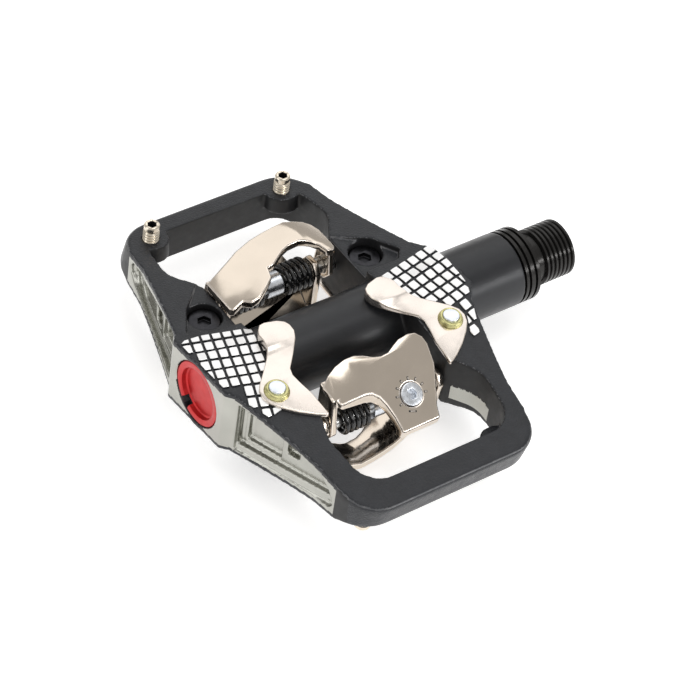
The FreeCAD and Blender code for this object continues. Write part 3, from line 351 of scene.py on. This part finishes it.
def apply_modifiers(obj):
    """Bakes an object's modifiers into its mesh."""
    bpy.context.view_layer.update()
    made = bpy.data.meshes.new_from_object(obj.evaluated_get(bpy.context.evaluated_depsgraph_get()))
    obj.modifiers.clear()
    obj.data = made


cage = make_cage()

CLAW_ROUND, PLATE_ROUND, SMALL_ROUND = 0.45, 0.2, 0.2
for node in ("rear_claw_upper", "rear_claw_lower", "front_hoop_upper", "front_hoop_lower"):
    soften(node, CLAW_ROUND, [NICKEL, NICKEL_EDGE], 1)
for face in ("upper", "lower"):
    for side in ("outboard", "inboard"):
        soften(f"cleat_plate_{face}_{side}", PLATE_ROUND, [PLATE, NICKEL_EDGE], 1)
    for node in ("rivet_collars_", "rivets_", "arm_screws_", "tension_screw_"):
        soften(node + face, SMALL_ROUND, [NODE_LOOK.get(node + face, SLOT_LOOK[SLOT[node + face]])])


# ---------------------------------------------------------------- cut grip faces on the deck

GRIP_OUTLINES = {
    "outboard": [(-32.9, 9.0), (-28.8, 8.6), (-23.2, 6.8), (-17.5, 5.0), (-16.7, 3.7), (-17.0, -0.3),
                 (-18.0, -3.4), (-22.9, -8.7), (-26.4, -12.6), (-27.4, -17.2), (-24.6, -20.0),
                 (-27.8, -20.7), (-29.6, -20.7), (-31.0, -17.5), (-32.6, -14.4), (-33.5, -12.3),
                 (-34.2, -10.3), (-34.3, -0.2), (-34.2, 8.3)],
    "inboard": [(18.4, 4.6), (19.8, 5.9), (26.6, 7.1), (32.3, 9.0), (34.9, 9.3), (36.2, 7.6), (36.4, 5.2),
                (36.3, 0.9), (35.7, -4.3), (34.9, -8.2), (33.2, -11.5), (31.8, -15.0), (30.3, -18.4),
                (28.7, -21.7), (25.8, -22.8), (27.6, -19.0), (28.9, -16.2), (28.4, -13.6), (24.4, -9.4),
                (21.4, -6.0), (19.6, -3.0)],
}
# lattice of each pad: step along a row, step to the next row, one land's middle
GRIP_STEPS = {"outboard": ((2.40, -0.76), (-1.08, -3.16), (-24.0, -4.0)),
              "inboard": ((2.90, 0.65), (0.20, -3.20), (27.0, -4.5))}
GRIP_ROWS, GRIP_COLUMNS = 12, 16  # lattice steps tried each way from that middle
GRIP_RISE, GRIP_FILL, GRIP_LEAST = 0.45, 0.76, 1.0  # a land's height, share of its cell and least area
LAND_CORNERS, LAND_SQUARE, CORNER_GAP = 20, 0.82, 0.02  # a power of 1 would give a sharp four-sided land
DECK_LEAST, WELL_ABOVE = 6.0, 30  # lands stand only on the deck, which is found from above
LAND_RINGS = ((1.08, -0.3), (1.03, GRIP_RISE - 0.14), (0.96, GRIP_RISE))  # growth and height above the deck


def area_of(corners):
    """Area of a closed outline in plan."""
    pairs = zip(corners, corners[1:] + corners[:1])
    return 0.5 * abs(sum(x0 * y1 - x1 * y0 for (x0, y0), (x1, y1) in pairs))


def clipped(corners, window):
    """Part of an outline that lies within a convex window, both in plan; the window runs anticlockwise."""
    for (x0, y0), (x1, y1) in zip(window, window[1:] + window[:1]):
        kept = []
        side = [(x1 - x0) * (y - y0) - (y1 - y0) * (x - x0) for x, y in corners]
        for k, (x, y) in enumerate(corners):
            (u, v), before = corners[k - 1], side[k - 1]
            if (side[k] >= 0) != (before >= 0):
                t = before / (before - side[k])
                kept.append((u + t * (x - u), v + t * (y - v)))
            if side[k] >= 0:
                kept.append((x, y))
        corners = kept
        if not corners:
            break
    return [p for k, p in enumerate(corners) if math.dist(p, corners[k - 1]) > CORNER_GAP]


def make_grip(side, face):
    """Rows of small cut lands with rounded corners, standing on the deck beside the cleat plate."""
    outline = GRIP_OUTLINES[side]
    (ax, ay), (bx, by), (x0, y0) = GRIP_STEPS[side]
    way = 1 if ax * by - ay * bx > 0 else -1
    tree = BVHTree.FromObject(cage, bpy.context.evaluated_depsgraph_get())
    bm = bmesh.new()
    for i in range(-GRIP_COLUMNS, GRIP_COLUMNS + 1):
        for j in range(-GRIP_ROWS, GRIP_ROWS + 1):
            cx, cy = x0 + i * ax + j * bx, y0 + i * ay + j * by
            window = []
            for k in range(LAND_CORNERS):
                turn = way * 2 * math.pi * (k + 0.5) / LAND_CORNERS
                c, d = math.cos(turn), math.sin(turn)
                grow = 0.5 * GRIP_FILL / max(abs(c), abs(d)) ** LAND_SQUARE
                window.append((cx + grow * (c * ax + d * bx), cy + grow * (c * ay + d * by)))
            land = clipped(outline, window)
            if len(land) < 3 or area_of(land) < GRIP_LEAST:
                continue
            mid = [sum(p[k] for p in land) / len(land) for k in (0, 1)]
            spots = [tree.ray_cast(at(x, y, WELL_ABOVE), Vector((0, 0, -1)))[0] for x, y in land]
            if any(spot is None or spot.z / MM < DECK_LEAST for spot in spots):
                continue
            rings = []
            for grow, lift in LAND_RINGS:
                rings.append([bm.verts.new(at(mid[0] + grow * (x - mid[0]), mid[1] + grow * (y - mid[1]),
                                              spot.z / MM + lift)) for (x, y), spot in zip(land, spots)])
            # the lands' sides take the darker coat as painted shade between the lands; their cut tops take
            # the bright face
            for low, high, look in zip(rings, rings[1:], (0, 1)):
                for k in range(len(land)):
                    bm.faces.new((low[k - 1], low[k], high[k], high[k - 1])).material_index = look
            bm.faces.new(rings[-1]).material_index = 1
            bm.faces.new(list(reversed(rings[0])))
    bmesh.ops.recalc_face_normals(bm, faces=bm.faces)
    if face == "lower":
        bmesh.ops.transform(bm, matrix=TURNED, verts=bm.verts)
    piece(f"grip_{face}_{side}", bm, "platform", [COAT_PAINTED_SHADE, PAD_TOP], smooth=25)


for face in ("upper", "lower"):
    for side in ("outboard", "inboard"):
        make_grip(side, face)


# ---------------------------------------------------------------- turned pieces

TURNS = 48  # steps round a small turned piece


def revolve(bm, profile, place, turns=TURNS):
    """Surface of revolution about Z through place; profile is (radius, height) in millimetres."""
    rings = []
    for r, z in profile:
        rings.append([bm.verts.new(place @ (Vector((r * math.cos(2 * math.pi * k / turns),
                                                    r * math.sin(2 * math.pi * k / turns), z)) * MM))
                      for k in range(turns)])
    for low, high in zip(rings, rings[1:]):
        for k in range(turns):
            bm.faces.new((low[k], low[(k + 1) % turns], high[(k + 1) % turns], high[k]))
    return rings


def hexagon(r, k, turns):
    """Point on a hexagon's side in the direction of step k; r is the distance to a flat."""
    angle = 2 * math.pi * k / turns
    near = (angle % (math.pi / 3)) - math.pi / 6
    return Vector((math.cos(angle), math.sin(angle), 0)) * (r / math.cos(near))


def socket(bm, rim, place, r, z, depth):
    """Hexagon socket sunk from a top ring, with the second look, a painted shadow, inside."""
    mouth, floor_ring = ([bm.verts.new(place @ ((hexagon(r, k, TURNS) + Vector((0, 0, h))) * MM))
                          for k in range(TURNS)] for h in (z, z - depth))
    for a, b, look in ((rim, mouth, 0), (mouth, floor_ring, 1)):
        for k in range(TURNS):
            bm.faces.new((a[k], a[(k + 1) % TURNS], b[(k + 1) % TURNS], b[k])).material_index = look
    bm.faces.new(floor_ring).material_index = 1


PIN_SPOTS = ((-18.7, 45.4), (18.7, 45.4))
PIN_TOP, PIN_R, PIN_PITCH, PIN_ROOT = 8.6, 1.98, 0.8, 1.98 - 0.42
PIN_FOOT, THREAD_START, THREAD_END = 0.02, 0.3, PIN_TOP - 1.9
PIN_TIP = [(PIN_ROOT, -1.5), (PIN_R - 0.1, -1.3), (PIN_R - 0.1, -0.35), (PIN_R - 0.35, -0.05),
           (PIN_R - 0.5, 0.0)]  # radius, and height from the top
KEY_R, KEY_BELOW, KEY_DEPTH = 1.05, 0.12, 2.2


def make_pins(face):
    """Grub screws standing in the bosses: pointed threads, a plain chamfered tip and a hexagon socket."""
    bm = bmesh.new()
    for x, y in PIN_SPOTS:
        place = Matrix.Translation(at(x, y, 0))
        profile = [(0.5, PIN_FOOT), (PIN_R - 0.35, PIN_FOOT)]
        height = THREAD_START
        while height < THREAD_END:
            crest = [(PIN_R, height + PIN_PITCH * k) for k in (0.42, 0.6)]
            profile += [(PIN_ROOT, height)] + crest
            height += PIN_PITCH
        profile += [(PIN_ROOT, height)] + [(r, PIN_TOP + z) for r, z in PIN_TIP]
        rings = revolve(bm, profile, place)
        bm.faces.new(list(reversed(rings[0])))
        socket(bm, rings[-1], place, KEY_R, PIN_TOP - KEY_BELOW, KEY_DEPTH)
    bmesh.ops.recalc_face_normals(bm, faces=bm.faces)
    if face == "lower":
        bmesh.ops.transform(bm, matrix=TURNED, verts=bm.verts)
    node = "traction_pins_" + face
    piece("threaded_pins_" + face, bm, "platform", [PIN, PAINTED_SHADOW], (node,))


make_pins("upper")
make_pins("lower")

CAP_TURNS, NOTCH_AT, NOTCH_HALF, NOTCH_DEPTH = 96, 39, 3, 1.5  # the notch is counted in steps round the cap
CAP_PROFILE = [(8.15, -3.6), (8.15, -0.25), (7.95, -0.02), (6.7, 0.0), (6.45, -0.15), (6.25, -1.15),
               (5.9, -1.4), (3.0, -1.4), (0.4, -1.4)]


def make_cap():
    """Screwed dust cap: flat rim, sunk middle and one square spanner notch in the rim."""
    face_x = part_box("end_cap")[0].x / MM + SHIFT
    place = Matrix.Translation(at(face_x, 0, 0)) @ Matrix.Rotation(-math.pi / 2, 4, "Y")
    bm = bmesh.new()
    notch = range(NOTCH_AT - NOTCH_HALF, NOTCH_AT + NOTCH_HALF + 1)
    rings = revolve(bm, CAP_PROFILE, place, CAP_TURNS)
    bm.faces.new(rings[-1])
    bm.faces.new(list(reversed(rings[0])))
    away = place.to_3x3() @ Vector((0, 0, -NOTCH_DEPTH * MM))
    for ring in rings[1:5]:
        for k in notch[1:-1]:
            ring[k].co += away
    # the notch's faces take the second look, a painted shadow
    sunk = {ring[k] for ring in rings[1:6] for k in notch}
    for f in bm.faces:
        if len(f.verts) == 4 and sunk.issuperset(f.verts):
            f.material_index = 1
    bmesh.ops.recalc_face_normals(bm, faces=bm.faces)
    piece("dust_cap", bm, "platform", [RED, PAINTED_SHADOW], ("end_cap",))


make_cap()


# ---------------------------------------------------------------- tension marks on the claws

TAIL_SEAT, TAIL_FALL = (4.5, -28.7, 7.02), math.atan2(10.5, 13.4)  # the tail's screw, and its slope
MARK_RINGS = ((1.0, -0.25), (1.0, 0.04), (0.62, 0.16))  # growth and height above the tail
TICK, LONG_MARK = (3.7, 0.45, 0.24), (3.9, 0.22, 1.0)  # distance from the screw, half length, half width
TICKS, TICK_START, TICK_STEP, LONG_AT = 8, 200, -30, -110  # directions from the screw in degrees


def make_marks(face):
    """Short raised ticks on the claw's tail around the tension screw, with one long mark below it; their
    sides carry a painted shadow and their tops a lighter steel as painted highlight.
    """
    place = Matrix.Translation(at(*TAIL_SEAT)) @ Matrix.Rotation(TAIL_FALL, 4, "X")
    bm = bmesh.new()
    marks = [(TICK_START + TICK_STEP * k, TICK) for k in range(TICKS)] + [(LONG_AT, LONG_MARK)]
    for angle, (reach, long, wide) in marks:
        turn = Matrix.Rotation(math.radians(angle), 4, "Z") @ Matrix.Translation(Vector((reach, 0, 0)) * MM)
        rings = []
        for grow, z in MARK_RINGS:
            rings.append([bm.verts.new(place @ turn @ (Vector((u * long * grow, v * wide * grow, z)) * MM))
                          for u, v in ((-1, -1), (1, -1), (1, 1), (-1, 1))])
        for low, high in zip(rings, rings[1:]):
            for k in range(4):
                bm.faces.new((low[k - 1], low[k], high[k], high[k - 1])).material_index = 1
        bm.faces.new(rings[-1])
        bm.faces.new(list(reversed(rings[0])))
    bmesh.ops.recalc_face_normals(bm, faces=bm.faces)
    node = "rear_claw_" + face
    if face == "lower":
        bmesh.ops.transform(bm, matrix=TURNED, verts=bm.verts)
    piece("tension_marks_" + face, bm, BODY[node], [PLATE, PAINTED_SHADOW], smooth=25)


make_marks("upper")
make_marks("lower")


# ---------------------------------------------------------------- camera, light and floor

def area(name, place, size, power):
    """White rectangular light, in metres and watts, aimed at the middle of the platform."""
    data = bpy.data.lights.new(name, "AREA")
    data.shape = "RECTANGLE"
    data.size, data.size_y = size
    data.energy = power
    lamp = bpy.data.objects.new(name, data)
    SCENE.collection.objects.link(lamp)
    lamp.location = place
    lamp.rotation_euler = (at(0, 0, 0) - Vector(place)).to_track_quat("-Z", "Y").to_euler()


camera = bpy.data.objects.new("camera", bpy.data.cameras.new("camera"))
SCENE.collection.objects.link(camera)
camera.data.lens, camera.data.sensor_width = 153.2, 36
camera.location = (-0.37899, -0.37519, 0.48840)
camera.rotation_euler = [math.radians(a) for a in (44.8938, -6.6024, -34.7705)]
SCENE.camera = camera

area("back_box", (0.38, 0.52, 0.66), (0.95, 0.7), 1.75)
area("top_box", (0.12, -0.18, 0.95), (0.6, 0.5), 1.8)
area("left_box", (-0.85, 0.25, 0.45), (0.5, 0.7), 1.2)
area("front_box", (-0.35, -0.95, 0.45), (0.9, 0.4), 1.5)
area("rim_strip", (0.36, -0.74, 0.27), (0.6, 0.09), 2.2)
world = bpy.data.worlds.new("studio")
SCENE.world = world
world.use_nodes = True
sky = world.node_tree.nodes["Background"]
sky.inputs["Color"].default_value = (1.0, 0.985, 0.96, 1)
sky.inputs["Strength"].default_value = 0.52
SCENE.view_settings.view_transform = "Standard"

FLOOR_GAP = 0.4 * MM
bpy.ops.mesh.primitive_plane_add(size=6, location=(0, 0, cad_box[0][2] - FLOOR_GAP))
floor = bpy.context.object
floor.name = "floor"
paper = finish("floor_paper", (0.93, 0.93, 0.93), 0.0, 0.7, 0.01, 5, 0.03, 800, 0.05, 0.05)
paper_shader = paper.node_tree.nodes["Principled BSDF"]
paper_shader.inputs["Emission Color"].default_value = (1, 1, 1, 1)
paper_shader.inputs["Emission Strength"].default_value = 0.50
floor.data.materials.append(paper)
